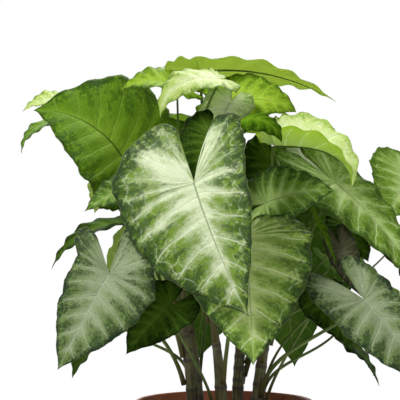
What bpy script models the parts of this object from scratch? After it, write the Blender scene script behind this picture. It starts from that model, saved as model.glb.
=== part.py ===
"""Potted syngonium: a nursery pot of soil with leafy shoots. Metres, +Z up, origin under the pot."""
import math

import bpy
import numpy as np

MM = 0.001
GAP = 0.3               # clearance between neighbouring pieces, mm

# all lengths below are in millimetres
POT_HEIGHT = 132.0
POT_BASE_RADIUS = 53.0
POT_NECK_RADIUS = 68.0  # where the tapered wall meets the collar
POT_RIM_RADIUS = 75.6
COLLAR_DEPTH = 26.0
POT_SEGMENTS = 44
POT_FLOOR = 2.4
DRAIN_HOLES = 6
DRAIN_CIRCLE = 33.0
DRAIN_RADIUS = 4.0
DRAIN_SIDES = 14

SOIL_TOP = 116.0
SOIL_RADIUS = 69.9
SOIL_SEGMENTS = 44

# each shoot: foot x, foot y, top x, top y, top z, foot radius
STEMS = {
    "left": (-26, -4, -46, -6, 250, 5.5),
    "front": (-2, -26, -12, -34, 222, 5.5),
    "right": (28, -10, 46, -8, 240, 5.5),
    "back": (12, 24, 24, 40, 262, 5.0),
    "rear": (-22, 26, -38, 44, 240, 5.0),
}
STEM_TOP_RADIUS = 1.6
STEM_RINGS = 9
STEM_SWELL = 1.1        # the joints of a shoot against the lengths between them
STEM_SIDES = 8

BLADE_THICKNESS = 0.7
PETIOLE_SIDES = 5
PETIOLE_STATIONS = 8
PETIOLE_FOOT = 1.9
PETIOLE_NECK = 1.2
SEATING_STEPS = 5       # tries at setting a stalk's foot against its shoot
NECK_DROP = 1.1         # the stalk meets the blade this far under its middle
RIB_REACH = 0.42        # share of the midrib that stands out under the blade
RIB_DROP = (0.75, 0.55, 0.35, 0.0)  # how far its centre hangs under the blade
RIB_RADII = (0.9, 0.7, 0.5, 0.2)

POT_COLOUR = (0.45, 0.17, 0.09)
SOIL_COLOUR = (0.035, 0.022, 0.014)
STEM_COLOUR = (0.13, 0.10, 0.05)
TINTS = {
    "pale": (0.50, 0.62, 0.33), "mid": (0.16, 0.30, 0.07), "bright": (0.19, 0.34, 0.02),
    "deep": (0.04, 0.12, 0.02), "grey": (0.28, 0.35, 0.21),
}

# half outline of a blade, apex to lobe to notch: across, along, where its vein leaves the midrib
OUTLINE = (
    (0.000, 1.00, 0.97), (0.030, 0.95, 0.88), (0.125, 0.85, 0.74), (0.255, 0.70, 0.54), (0.380, 0.53, 0.34),
    (0.475, 0.34, 0.16), (0.525, 0.15, 0.03), (0.530, -0.03, 0.0), (0.495, -0.20, 0.0), (0.420, -0.35, 0.0),
    (0.310, -0.45, 0.0), (0.190, -0.48, 0.0), (0.095, -0.42, 0.0), (0.048, -0.28, 0.0), (0.024, -0.12, 0.0),
    (0.000, 0.00, 0.0),
)

PLAIN_LEAF = dict(
    width=1.0, droop=30, late=1.0, fold=(15, 15), curl=(20, 20), twist=0, wave=1.5, phase=0.0,
    lobes=(1, 1), wide=(1, 1), splay=(0, 0), ribs=10, rise=0.35, reach=0.35, arrive=None, side=None,
    tint="mid",
)


def leaf(base, tip, face, **shape):
    """One leaf: where stalk meets blade, where the apex is, the way the upper side looks, in mm."""
    return {**PLAIN_LEAF, "base": base, "tip": tip, "face": face, **shape}


LEAVES = {
    "leaf_front_large": leaf((-25, -100, 316), (18, -108, 211), (-0.45, -0.9, 0.25), width=1.05, twist=-12,
        fold=(28, 20), curl=(40, 35), lobes=(0.75, 1.0), wide=(0.78, 1.1), splay=(0.5, -0.35), stem="front",
        height=185, tint="pale"),
    "leaf_front_second": leaf((15, -79, 273), (22, -91, 171), (0.1, -0.95, 0.25), fold=(10, 8),
        curl=(25, 10), lobes=(0.35, 0.25), stem="front", height=150, tint="mid"),
    "leaf_front_right": leaf((34, -44, 300), (90, -54, 310), (-0.1, -0.75, 0.6), width=0.95, droop=40,
        fold=(30, 10), curl=(30, 20), stem="right", height=165, tint="mid"),
    "leaf_left_low": leaf((-93, -84, 243), (-133, -98, 168), (-0.15, -0.95, 0.2), width=0.9, droop=25,
        fold=(10, 15), curl=(25, 25), lobes=(1.1, 0.65), wide=(1, 0.72), splay=(-0.45, 1.0), stem="left",
        height=145, side=(-1, 0), tint="grey"),
    "leaf_left_high": leaf((-84, -5, 334), (-161, -10, 378), (0.3, -0.6, 0.75), width=1.25, droop=80,
        fold=(0, 15), curl=(10, 2), wide=(0.78, 1.25), stem="left", height=190, lobes=(0.5, 1),
        splay=(0, 0.5), tint="bright"),
    "leaf_left_pale": leaf((-134, 50, 386), (-176, 42, 380), (0.0, -0.4, 0.9), width=0.9, droop=60,
        fold=(20, 20), ribs=8, stem="left", height=215, side=(-1, 0.6), tint="pale"),
    "leaf_left_tip": leaf((-138, 5, 368), (-172, -2, 342), (-0.6, -0.3, 0.8), width=0.9, droop=100,
        fold=(10, 10), ribs=8, stem="rear", height=190, tint="bright"),
    "leaf_left_small": leaf((-72, -58, 314), (-114, -72, 293), (-0.2, -0.7, 0.6), width=0.7, fold=(20, 20),
        ribs=8, stem="left", height=210, tint="deep"),
    "leaf_left_folded": leaf((-78, -38, 283), (-142, -52, 246), (0.0, -0.2, 0.9), width=0.5, droop=70,
        stem="left", height=170, ribs=8, lobes=(0.3, 0.3), tint="deep"),
    "leaf_top_left": leaf((-40, 5, 400), (-88, 0, 396), (0.1, -0.5, 0.8), width=0.8, droop=60,
        fold=(20, 20), stem="rear", height=210, tint="bright"),
    "leaf_top": leaf((-20, 36, 415), (96, 5, 386), (0.3, 0.22, 0.92), width=0.5, droop=40, fold=(10, 10),
        lobes=(0.5, 0.5), stem="back", height=230, tint="bright"),
    "leaf_top_folded": leaf((-4, -28, 403), (-53, -40, 370), (-0.35, -0.6, 0.8), width=0.7, droop=110,
        late=1.6, fold=(10, 10), lobes=(0.3, 0.3), stem="left", height=228, ribs=8,
        arrive=(0.5, -0.1, 0.87), tint="pale"),
    "leaf_top_bright": leaf((6, 14, 389), (62, 6, 377), (0.2, -0.88, 0.4), width=0.75, droop=80, late=2.5,
        stem="back", height=200, tint="bright"),
    "leaf_middle_pale": leaf((5, -7, 384), (-20, -20, 322), (-0.4, -0.8, 0.4), width=0.65, fold=(15, 20),
        lobes=(0.4, 0.4), stem="front", height=205, tint="pale"),
    "leaf_middle_dark": leaf((-12, -50, 354), (-26, -64, 306), (-0.2, -0.9, 0.3), width=0.9, fold=(15, 15),
        ribs=8, stem="front", height=200, side=(-1, 0.4), tint="deep"),
    "leaf_arched": leaf((8, -74, 362), (45, -86, 348), (0.2, -0.4, 0.9), droop=120, fold=(10, 0),
        curl=(30, 30), ribs=8, stem="front", height=212, lobes=(0.3, 0.3), tint="bright"),
    "leaf_right_high": leaf((42, -24, 348), (104, -42, 312), (0.5, -0.25, 0.85), width=0.82, droop=100,
        late=2.5, fold=(50, 32), curl=(10, 0), lobes=(0.3, 0.3), stem="right", height=215, tint="pale"),
    "leaf_right_shaded": leaf((70, 18, 335), (110, 22, 308), (0.2, -0.8, 0.5), width=0.9, stem="back",
        height=185, ribs=8, tint="pale"),
    "leaf_right_far": leaf((158, 22, 325), (139, 10, 287), (0.4, -0.7, 0.5), width=1.5, lobes=(0.7, 0.7),
        stem="back", height=225, tint="mid"),
    "leaf_right_pale": leaf((94, -6, 317), (166, -34, 228), (0.38, -0.72, 0.58), width=0.6, fold=(25, 15),
        wide=(0.6, 1), stem="right", height=205, tint="pale", lobes=(0.9, 1.0)),
    "leaf_right_curled": leaf((143, 0, 262), (117, -20, 270), (0.2, -0.8, 0.5), width=1.4, droop=60,
        fold=(20, 20), curl=(30, 30), ribs=8, stem="right", height=150, side=(1, 0.5), tint="deep"),
    "leaf_right_dark": leaf((104, 0, 280), (122, -8, 250), (0.2, -0.9, 0.3), width=0.9, ribs=8,
        stem="back", height=150, tint="deep"),
    "leaf_right_low": leaf((112, -70, 222), (165, -88, 150), (0.1, -0.9, 0.35), width=0.85, droop=25,
        wide=(0.6, 0.8), lobes=(0.9, 1), splay=(0, 0.3), stem="right", height=138, side=(0.3, -1),
        tint="grey"),
    "leaf_right_brown": leaf((97, -35, 262), (112, -45, 223), (-0.2, -0.9, 0.2), width=0.6, fold=(30, 30),
        ribs=8, stem="right", height=180, side=(1, 0.3), tint="grey"),
    "leaf_low_dark": leaf((80, -24, 222), (106, -34, 180), (0.1, -0.9, 0.3), width=0.8, fold=(20, 20),
        stem="right", height=130, ribs=8, side=(1, -0.5), lobes=(0.4, 0.4), tint="deep"),
    "leaf_low_left": leaf((-46, -58, 214), (-80, -74, 178), (-0.2, -0.9, 0.35), width=0.9, fold=(20, 20),
        stem="front", height=128, ribs=8, side=(-1, -0.5), tint="deep"),
    "leaf_rolled": leaf((76, -40, 284), (92, -48, 248), (0.4, -0.9, 0.3), width=0.25, droop=10,
        fold=(60, 60), ribs=8, stem="right", height=190, side=(0.3, -1), tint="bright"),
    "leaf_inner_right": leaf((40, 26, 336), (26, 14, 288), (0.1, -0.9, 0.4), width=0.9, ribs=8,
        stem="back", height=222, side=(0.3, -1), tint="deep"),
    "leaf_rear_large": leaf((18, 102, 305), (0, 113, 200), (0.15, 0.9, 0.3), width=1.0, stem="back",
        height=170, tint="mid"),
    "leaf_rear_left": leaf((-64, 101, 262), (-90, 119, 180), (-0.4, 0.85, 0.3), stem="rear", height=150,
        width=0.8, tint="pale"),
    "leaf_rear_right": leaf((80, 70, 290), (108, 92, 205), (0.5, 0.8, 0.3), width=0.9, stem="back",
        height=178, tint="mid"),
    "leaf_rear_low": leaf((-13, 82, 226), (-25, 102, 153), (-0.1, 0.9, 0.35), width=0.85, stem="rear",
        height=135, tint="deep"),
    "leaf_rear_low_right": leaf((55, 80, 222), (66, 104, 150), (0.3, 0.85, 0.35), width=0.8, stem="back",
        height=143, tint="grey"),
    "leaf_rear_top": leaf((-18, 80, 374), (-28, 138, 345), (0.0, 0.4, 0.9), droop=60, stem="rear",
        height=225, tint="bright"),
    "leaf_rear_top_right": leaf((50, 60, 365), (100, 100, 330), (0.3, 0.4, 0.9), droop=60, stem="back",
        height=245, tint="bright"),
    "leaf_side_left": leaf((-96, 28, 236), (-138, 42, 188), (-0.6, 0.2, 0.8), width=0.95, stem="left",
        height=178, tint="mid"),
    "leaf_side_right": leaf((112, 44, 240), (160, 58, 185), (0.6, 0.3, 0.8), width=0.95, stem="back",
        height=160, side=(1, 0), tint="mid"),
    "leaf_rear_left_high": leaf((-75, 84, 330), (-118, 124, 290), (-0.3, 0.4, 0.85), droop=50, stem="rear",
        height=215, tint="pale"),
    "leaf_side_right_low": leaf((98, 24, 188), (136, 36, 140), (0.75, -0.2, 0.6), width=0.85, stem="right",
        height=136, side=(0.7, 1), tint="deep"),
    "leaf_side_left_low": leaf((-92, 48, 194), (-134, 62, 144), (-0.7, 0.3, 0.6), width=0.95, stem="rear",
        height=150, tint="deep", ribs=8),
    "leaf_rear_middle": leaf((-6, 50, 338), (-4, 70, 296), (0.1, 0.8, 0.5), width=0.8, stem="back",
        height=238, tint="mid", ribs=8, side=(-1, 0.3)),
}


def unit(vector):
    """The vector brought to length one."""
    vector = np.array(vector, float)
    return vector / np.linalg.norm(vector)


def half_outline(samples):
    """The half outline as a smooth curve, sampled evenly along its length."""
    points = np.array(OUTLINE)
    ends = np.vstack([2 * points[0] - points[1], points, 2 * points[-1] - points[-2]])
    t = np.linspace(0, len(points) - 1, 40 * len(points))
    i = np.minimum(t.astype(int), len(points) - 2)
    f = (t - i)[:, None]
    a, b, c, d = (ends[i + k] for k in range(4))
    dense = 0.5 * (2 * b + (c - a) * f + (2 * a - 5 * b + 4 * c - d) * f**2 + (3 * b - a - 3 * c + d) * f**3)
    run = np.concatenate([[0], np.cumsum(np.linalg.norm(np.diff(dense[:, :2], axis=0), axis=1))])
    at = np.linspace(0, run[-1], samples)
    return np.column_stack([np.interp(at, run, dense[:, k]) for k in range(3)])


def midrib_bend(shape):
    """Along/up position and slope of the midrib, for places from the lobes (-0.8) to the apex (1)."""
    t = np.linspace(-0.8, 1.0, 181)
    slope = math.radians(shape["droop"]) * np.maximum(t, 0) ** shape["late"]
    along = np.concatenate([[0], np.cumsum((np.cos(slope[1:]) + np.cos(slope[:-1])) / 2 * np.diff(t))])
    up = np.concatenate([[0], np.cumsum(-(np.sin(slope[1:]) + np.sin(slope[:-1])) / 2 * np.diff(t))])
    foot = np.argmin(abs(t))
    along, up = along - along[foot], up - up[foot]
    turn = math.atan2(up[-1], along[-1])
    reach = math.hypot(along[-1], up[-1])
    c, s = math.cos(turn), math.sin(turn)
    return t, (c * along + s * up) / reach, (c * up - s * along) / reach, slope + turn, 1 / reach


def blade_axes(shape):
    """Unit vectors across, along and above the blade, and its length from notch to apex."""
    base, tip = np.array(shape["base"], float), np.array(shape["tip"], float)
    along = unit(tip - base)
    above = np.array(shape["face"], float)
    above = unit(above - above.dot(along) * along)
    return np.cross(along, above), along, above, np.linalg.norm(tip - base)


def half_blade(shape, side, ribs, steps):
    """Points of one half (side +1 or -1): rows from apex to notch, columns from midrib to margin."""
    k = 0 if side < 0 else 1
    across, along, above, chord = blade_axes(shape)
    outline = half_outline(ribs + 1)
    v = np.linspace(0, 1, steps + 1)
    edge_x, edge_y, foot = outline[:, 0:1], outline[:, 1:2], outline[:, 2:3]
    edge_y = np.where(edge_y < 0, edge_y * shape["lobes"][k], edge_y)
    edge_x = edge_x * shape["wide"][k] + shape["splay"][k] * np.maximum(-edge_y, 0)
    x = edge_x * v
    y = foot + (edge_y - foot) * v - 0.10 * np.hypot(edge_x, edge_y - foot) * v * (1 - v) * (edge_y > 0)
    t, mid_along, mid_up, slope, stretch = midrib_bend(shape)
    mid_y, mid_z = np.interp(y, t, mid_along) * chord, np.interp(y, t, mid_up) * chord
    lean = np.interp(y, t, slope)
    half = 0.5 * shape["width"] * chord * stretch
    fold, bend = math.radians(shape["fold"][k]), (math.radians(shape["curl"][k]) + 1e-4) / half
    reach = 2 * half * x
    out = (np.sin(fold) - np.sin(fold - bend * reach)) / bend
    lift = (np.cos(fold - bend * reach) - np.cos(fold)) / bend
    u = np.linspace(0, 1, ribs + 1)[:, None] + 0 * v
    lift = lift + shape["wave"] * (x / 0.5) ** 2 * np.sin(2 * math.pi * (3.2 * u + shape["phase"] + 0.37 * k))
    twist = math.radians(shape["twist"]) * np.clip(y, -0.5, 1)
    sideways = side * out * np.cos(twist) - lift * np.sin(twist)
    upward = side * out * np.sin(twist) + lift * np.cos(twist)
    place = sideways[..., None] * across + (mid_y + upward * np.sin(lean))[..., None] * along
    return np.array(shape["base"], float) + place + (mid_z + upward * np.cos(lean))[..., None] * above


def bezier(p0, p1, p2, p3, count):
    """Points along a cubic curve between two ends, led by two handles."""
    t = np.linspace(0, 1, count)[:, None]
    return (1 - t) ** 3 * p0 + 3 * (1 - t) ** 2 * t * p1 + 3 * (1 - t) * t**2 * p2 + t**3 * p3


def stem_line(name):
    """Centre line of a shoot and its radius along the way."""
    x0, y0, x1, y1, z1, radius = STEMS[name]
    foot, top = np.array([x0, y0, SOIL_TOP + GAP]), np.array([x1, y1, z1], float)
    rise = np.array([0, 0, (z1 - SOIL_TOP) * 0.4])
    lean = np.array([(x1 - x0) * 0.35, (y1 - y0) * 0.35, (z1 - SOIL_TOP) * 0.3])
    line = bezier(foot, foot + rise, top - lean, top, 60)
    return line, radius + (STEM_TOP_RADIUS - radius) * np.linspace(0, 1, 60) ** 1.3


def stem_clearance(name, points):
    """The least distance from any of the points to the flat sides of a shoot."""
    rings = stem_solid(name)[0].reshape(STEM_RINGS, STEM_SIDES, 3)
    levels = rings[:, :, 2].mean(axis=1)
    least = []
    for point in points:
        i = int(np.clip(np.searchsorted(levels, point[2]) - 1, 0, STEM_RINGS - 2))
        low, high = rings[i], rings[i + 1]
        normals = np.cross(np.roll(low, -1, axis=0) - low, high - low)
        normals /= np.linalg.norm(normals, axis=1, keepdims=True)
        least.append(((point - low) * normals).sum(axis=1).max())
    return min(least)


def stalk_foot(line):
    """Points all round the lowest part of a stalk."""
    radii = np.linspace(PETIOLE_FOOT, PETIOLE_NECK, len(line))
    rings = closed_tube(line, radii, PETIOLE_SIDES)[0].reshape(len(line), PETIOLE_SIDES, 3)[:4]
    share = np.linspace(0, 1, 5)[:, None, None, None]
    along = (rings[None, :-1] * (1 - share) + rings[None, 1:] * share).reshape(-1, 3)
    turned_on = np.roll(rings, -1, axis=1)
    return np.vstack([along, ((rings + turned_on) / 2).reshape(-1, 3)])


def petiole_line(shape):
    """Centre line of a leaf stalk, from beside its shoot to the notch of the blade."""
    line, radii = stem_line(shape["stem"])
    i = int(np.argmin(abs(line[:, 2] - shape["height"])))
    base = np.array(shape["base"], float)
    way = unit((base - line[i])[:2]) if shape["side"] is None else unit(shape["side"])
    above = blade_axes(shape)[2]
    neck = base - above * NECK_DROP
    leave = unit(np.append(way * 0.25, 1.0))
    out = radii[i] + PETIOLE_FOOT
    for _ in range(SEATING_STEPS):
        start = line[i] + np.append(way, 0) * out
        toward = unit(base - start) + 0.5 * above + np.array([0, 0, 0.3])
        arrive = unit(shape["arrive"] if shape["arrive"] else toward)
        span = np.linalg.norm(base - start)
        first, second = start + leave * span * shape["rise"], neck - arrive * span * shape["reach"]
        stalk = bezier(start, first, second, neck, PETIOLE_STATIONS)
        out += GAP - stem_clearance(shape["stem"], stalk_foot(stalk))
    return stalk


def stalk_line(shape):
    """The stalk carried on as the raised midrib under the blade: points and radii."""
    stalk = petiole_line(shape)
    t, mid_along, mid_up, slope, _ = midrib_bend(shape)
    _, along, above, chord = blade_axes(shape)
    rib = []
    for place, drop in zip(np.linspace(0.08, RIB_REACH, len(RIB_DROP)), RIB_DROP):
        y, z, s = (np.interp(place, t, row) for row in (mid_along, mid_up, slope))
        point = np.array(shape["base"]) + along * (y * chord) + above * (z * chord)
        rib.append(point - (above * math.cos(s) + along * math.sin(s)) * drop)
    radii = np.concatenate([np.linspace(PETIOLE_FOOT, PETIOLE_NECK, len(stalk)), RIB_RADII])
    return np.vstack([stalk, rib]), radii


def blade_surface(shape, steps=2):
    """Both halves welded along the midrib: points, and faces that look to the upper side."""
    points, faces, seen = [], [], {}

    def number(point):
        key = tuple(np.round(point, 3))
        if key not in seen:
            seen[key] = len(points)
            points.append(point)
        return seen[key]

    for side in (1, -1):
        rows = half_blade(shape, side, shape["ribs"], steps)
        ids = [[number(p) for p in row] for row in rows]
        for i in range(len(ids) - 1):
            for j in range(steps):
                ring = [ids[i][j], ids[i][j + 1], ids[i + 1][j + 1], ids[i + 1][j]]
                ring = [n for k, n in enumerate(ring) if n != ring[k - 1]]
                if len(set(ring)) > 2:
                    faces.append(ring if side < 0 else ring[::-1])
    return np.array(points), faces


def point_normals(points, faces):
    """Unit normals at the points, weighted by the faces round them."""
    normals = np.zeros_like(points)
    for face in faces:
        for k in range(1, len(face) - 1):
            a, b, c = points[face[0]], points[face[k]], points[face[k + 1]]
            normals[list(face)] += np.cross(b - a, c - a)
    return normals / np.linalg.norm(normals, axis=1, keepdims=True)


def cut_across(points, faces):
    """Four-sided faces cut along their shorter diagonal, so that both skins of a blade bend alike."""
    cut = []
    for face in faces:
        if len(face) == 3:
            cut.append(face)
            continue
        a, b, c, d = face
        if np.linalg.norm(points[a] - points[c]) <= np.linalg.norm(points[b] - points[d]):
            cut += [[a, b, c], [a, c, d]]
        else:
            cut += [[a, b, d], [b, c, d]]
    return cut


def closed_blade(shape):
    """The blade as a thin closed solid."""
    points, faces = blade_surface(shape)
    offset = point_normals(points, faces) * BLADE_THICKNESS / 2
    faces = cut_across(points, faces)
    count = len(points)
    edges = {}
    for face in faces:
        for a, b in zip(face, face[1:] + face[:1]):
            edges[(a, b)] = True
    rim = [(b, a, a + count, b + count) for a, b in edges if (b, a) not in edges]
    under = [tuple(n + count for n in face[::-1]) for face in faces]
    return np.vstack([points + offset, points - offset]), [tuple(f) for f in faces] + under + rim


def closed_tube(line, radii, sides):
    """A round tube along a line, closed at both ends."""
    line = np.array(line, float)
    ahead = np.gradient(line, axis=0)
    ahead /= np.linalg.norm(ahead, axis=1, keepdims=True)
    first = unit(np.cross(ahead[0], (0.3, 1.0, 0.1)))
    rings = []
    for point, way, radius in zip(line, ahead, radii):
        first = unit(first - first.dot(way) * way)
        second = np.cross(way, first)
        angles = np.arange(sides) * 2 * math.pi / sides
        rings += [point + radius * (math.cos(a) * first + math.sin(a) * second) for a in angles]
    faces = []
    for i in range(len(line) - 1):
        for k in range(sides):
            a, b = i * sides + k, i * sides + (k + 1) % sides
            faces.append((a, b, b + sides, a + sides))
    last = (len(line) - 1) * sides
    return np.array(rings), faces + [tuple(range(sides))[::-1], tuple(range(last, last + sides))]


def stem_solid(name):
    """A shoot that thickens a little at each joint, standing just clear of the soil."""
    line, radii = stem_line(name)
    pick = np.linspace(0, len(line) - 1, STEM_RINGS).astype(int)
    swell = 1 + (STEM_SWELL - 1) * (np.arange(STEM_RINGS) % 2)
    line = line[pick]
    points, faces = closed_tube(line, radii[pick] * swell, STEM_SIDES)
    points[:STEM_SIDES, 2] = SOIL_TOP + GAP
    return points, faces


def stalk_solid(shape):
    """The leaf stalk and the raised midrib as one tapering tube."""
    line, radii = stalk_line(shape)
    return closed_tube(line, radii, PETIOLE_SIDES)


def turned(profile, segments):
    """A closed solid turned about Z from a profile that starts and ends on the axis."""
    rings = [[(0.0, 0.0, profile[0][1])]]
    for radius, z in profile[1:-1]:
        turn = [2 * math.pi * k / segments for k in range(segments)]
        rings.append([(radius * math.cos(a), radius * math.sin(a), z) for a in turn])
    rings.append([(0.0, 0.0, profile[-1][1])])
    points = [p for ring in rings for p in ring]
    starts = np.cumsum([0] + [len(r) for r in rings])
    faces = []
    for k in range(segments):
        n = (k + 1) % segments
        faces.append((0, starts[1] + n, starts[1] + k))
        for i in range(1, len(rings) - 2):
            a, b = starts[i], starts[i + 1]
            faces.append((a + k, a + n, b + n, b + k))
        faces.append((starts[-2] - segments + k, starts[-2] - segments + n, starts[-2]))
    return np.array(points), [tuple(int(i) for i in f) for f in faces]


def pot_solid():
    """Tapered wall and floor, with a wider collar whose rim is rounded."""
    base, neck, rim = POT_BASE_RADIUS, POT_NECK_RADIUS, POT_RIM_RADIUS
    top, step = POT_HEIGHT, POT_HEIGHT - COLLAR_DEPTH
    outside = [(base - 1.5, 0), (base, 1.5), (neck, step), (neck + 4.6, step + 1.5), (rim, top - 3),
               (rim - 0.4, top - 1), (rim - 1.6, top)]
    inside = [(rim - 2.8, top - 0.4), (rim - 3.4, top - 3), (neck + 2.2, step + 4.5),
              (neck - 2.1, step + 2), (base - 2, POT_FLOOR + 1.2), (base - 3.4, POT_FLOOR)]
    return turned([(0, 0)] + outside + inside + [(0, POT_FLOOR)], POT_SEGMENTS)


def soil_solid():
    """Soil that fills the pot to a little under the rim, clear of its wall and floor."""
    base, neck, bottom = POT_BASE_RADIUS, POT_NECK_RADIUS, POT_FLOOR + 0.4
    step = POT_HEIGHT - COLLAR_DEPTH
    profile = [(base - 3.6, bottom), (base - 2.4, bottom + 1.1), (neck - 2.45, step + 2.3),
               (SOIL_RADIUS - 0.3, step + 4.8), (SOIL_RADIUS, step + 7.2), (SOIL_RADIUS - 7.9, SOIL_TOP)]
    return turned([(0, bottom)] + profile + [(0, SOIL_TOP)], SOIL_SEGMENTS)


def drain_solids():
    """Upright plugs that cut the drainage holes through the pot's floor."""
    for k in range(DRAIN_HOLES):
        angle = 2 * math.pi * (k + 0.5) / DRAIN_HOLES
        x, y = DRAIN_CIRCLE * math.cos(angle), DRAIN_CIRCLE * math.sin(angle)
        yield closed_tube([(x, y, -2.0), (x, y, POT_FLOOR + 0.2)], (DRAIN_RADIUS, DRAIN_RADIUS), DRAIN_SIDES)


def plain_material(name, colour, roughness):
    """A Principled material with the piece's colour and roughness."""
    material = bpy.data.materials.new(name)
    material.use_nodes = True
    surface = material.node_tree.nodes["Principled BSDF"]
    surface.inputs["Base Color"].default_value = (*colour, 1.0)
    surface.inputs["Roughness"].default_value = roughness
    surface.inputs["Metallic"].default_value = 0.0
    return material


def add_object(name, solid):
    """A new object from points in millimetres and faces."""
    points, faces = solid
    mesh = bpy.data.meshes.new(name)
    corners = [tuple(float(c) * MM for c in point) for point in points]
    mesh.from_pydata(corners, [], [tuple(int(n) for n in face) for face in faces])
    mesh.update()
    thing = bpy.data.objects.new(name, mesh)
    bpy.context.collection.objects.link(thing)
    return thing


def joined(thing, other, operation):
    """Unite the other solid with the thing, or cut it away, and keep the result as the thing's mesh."""
    step = thing.modifiers.new("join", "BOOLEAN")
    step.operation, step.solver, step.object = operation, "EXACT", other
    bpy.context.view_layer.update()
    result = thing.evaluated_get(bpy.context.evaluated_depsgraph_get())
    mesh = bpy.data.meshes.new_from_object(result)
    thing.modifiers.clear()
    old, thing.data = thing.data, mesh
    spare = other.data
    bpy.data.objects.remove(other)
    bpy.data.meshes.remove(spare)
    bpy.data.meshes.remove(old)
    mesh.name = thing.name
    return thing


def dress(thing, colour, roughness):
    """Give the piece its own material."""
    thing.data.materials.clear()
    thing.data.materials.append(plain_material(thing.name + "_surface", colour, roughness))


def build_pot():
    """The pot, with its drainage holes cut."""
    pot = add_object("pot", pot_solid())
    for hole in drain_solids():
        pot = joined(pot, add_object("drain_hole", hole), "DIFFERENCE")
    dress(pot, POT_COLOUR, 0.55)


def build_leaf(name, shape):
    """One leaf: its blade and its stalk united into a single body."""
    blade = add_object(name, closed_blade(shape))
    blade = joined(blade, add_object("stalk", stalk_solid(shape)), "UNION")
    dress(blade, TINTS[shape["tint"]], 0.42)


def build():
    """Clear the scene and build every piece."""
    for thing in list(bpy.data.objects):
        bpy.data.objects.remove(thing)
    build_pot()
    dress(add_object("soil", soil_solid()), SOIL_COLOUR, 0.95)
    for name in STEMS:
        dress(add_object("stem_" + name, stem_solid(name)), STEM_COLOUR, 0.6)
    for name, shape in LEAVES.items():
        build_leaf(name, shape)


build()
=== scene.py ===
"""Potted syngonium: the leaves, shoots, soil and pot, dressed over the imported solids."""

import math
from types import SimpleNamespace

import bpy
import numpy as np
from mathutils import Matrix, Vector


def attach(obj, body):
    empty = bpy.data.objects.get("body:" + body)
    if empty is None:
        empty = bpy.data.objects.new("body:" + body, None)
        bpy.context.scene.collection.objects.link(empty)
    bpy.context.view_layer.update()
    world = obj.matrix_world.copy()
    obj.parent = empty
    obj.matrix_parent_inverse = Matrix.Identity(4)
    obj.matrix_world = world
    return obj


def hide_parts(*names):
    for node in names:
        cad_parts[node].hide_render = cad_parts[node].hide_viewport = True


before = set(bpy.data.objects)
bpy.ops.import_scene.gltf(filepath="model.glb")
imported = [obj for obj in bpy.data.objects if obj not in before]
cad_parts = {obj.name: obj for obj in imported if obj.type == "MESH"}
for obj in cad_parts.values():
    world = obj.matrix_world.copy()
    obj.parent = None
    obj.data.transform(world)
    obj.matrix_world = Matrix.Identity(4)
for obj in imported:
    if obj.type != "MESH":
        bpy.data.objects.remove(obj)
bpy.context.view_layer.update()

MM = 0.001

# --- the pot and the soil, in millimetres ---
POT_HEIGHT = 132.0
POT_BASE_RADIUS = 53.0
POT_NECK_RADIUS = 68.0
POT_RIM_RADIUS = 75.6
COLLAR_DEPTH = 26.0
POT_FLOOR = 2.4
POT_EASE = 0.9  # how far its corners are rounded
POT_SEGMENTS = 160
DRAIN_HOLES = 6
DRAIN_CIRCLE = 33.0
DRAIN_RADIUS = 4.0
DRAIN_SIDES = 28
SOIL_TOP = 116.0
SOIL_RADIUS = 69.9
SOIL_RINGS = 46
SOIL_SEGMENTS = 150
SOIL_LUMPS = ((1.3, 0.12, 3), (0.9, 0.33, 5), (0.5, 0.85, 8))  # height, fineness, seed
CRUMBS = 420
CRUMB_SIZE = (0.7, 2.1)
PLAIN_CRUMBS = 0.86  # share of the crumbs that are mix; the rest are bark chips

# --- the shoots: foot x, foot y, top x, top y, top z, foot radius ---
STEMS = {
    "left": (-26, -4, -46, -6, 250, 5.5),
    "front": (-2, -26, -12, -34, 222, 5.5),
    "right": (28, -10, 46, -8, 240, 5.5),
    "back": (12, 24, 24, 40, 262, 5.0),
    "rear": (-22, 26, -38, 44, 240, 5.0),
}
STEM_TOP_RADIUS = 1.6
STEM_SIDES = 22
STEM_STATIONS = 90
STEM_ROOT = 6.0  # how far a shoot goes down into the mix
JOINT_SWELL = 0.1  # how much thicker the shoot is there, as a share
JOINT_LENGTH = 2.2
JOINT_DROP = 3.0  # how far it sits under the point where the stalk leaves
JOINTS_MOST = 1.22  # the most that joints close together swell it to

# --- the leaves ---
BLADE_ROWS = 80  # from the tip round to the notch
BLADE_COLUMNS = 14  # from the midrib out to the margin
BLADE_THICKNESS = 0.42
EDGE_THICKNESS = 0.14
FULL_LENGTH = 95.0  # a blade this long has all its relief, a shorter one less
LATERALS = 13  # side veins on each half
VEIN_SAG = 0.1  # how far the side veins bow back on their way out
WAVE = 1.5  # slow waves of a half
QUILT = 1.7  # how far the blade rises between its side veins
RIPPLE = 1.6  # fine waves of the margin
NICKS = 0.009  # how uneven the margin is, as a share of the half width
BUMPS = 0.02  # how far its broader bays and bulges go, as a share too
STALK_SIDES = 12
STALK_STATIONS = 30
STALK_FOOT = 1.9
STALK_NECK = 1.2
STALK_HANDLE = 0.35  # how long the handles of its curve are, as a share of its span
NECK_DROP = 1.1  # how far under the blade the stalk meets it
RIB_REACH = 0.9  # how far along the blade the midrib stands out under it
RIB_SINK = 0.85  # how far under the blade the midrib's line runs at first
RIB_STATIONS = 14
LEAF_SEED_STEP = 3.7  # sets the pattern of each leaf apart from the last

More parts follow.
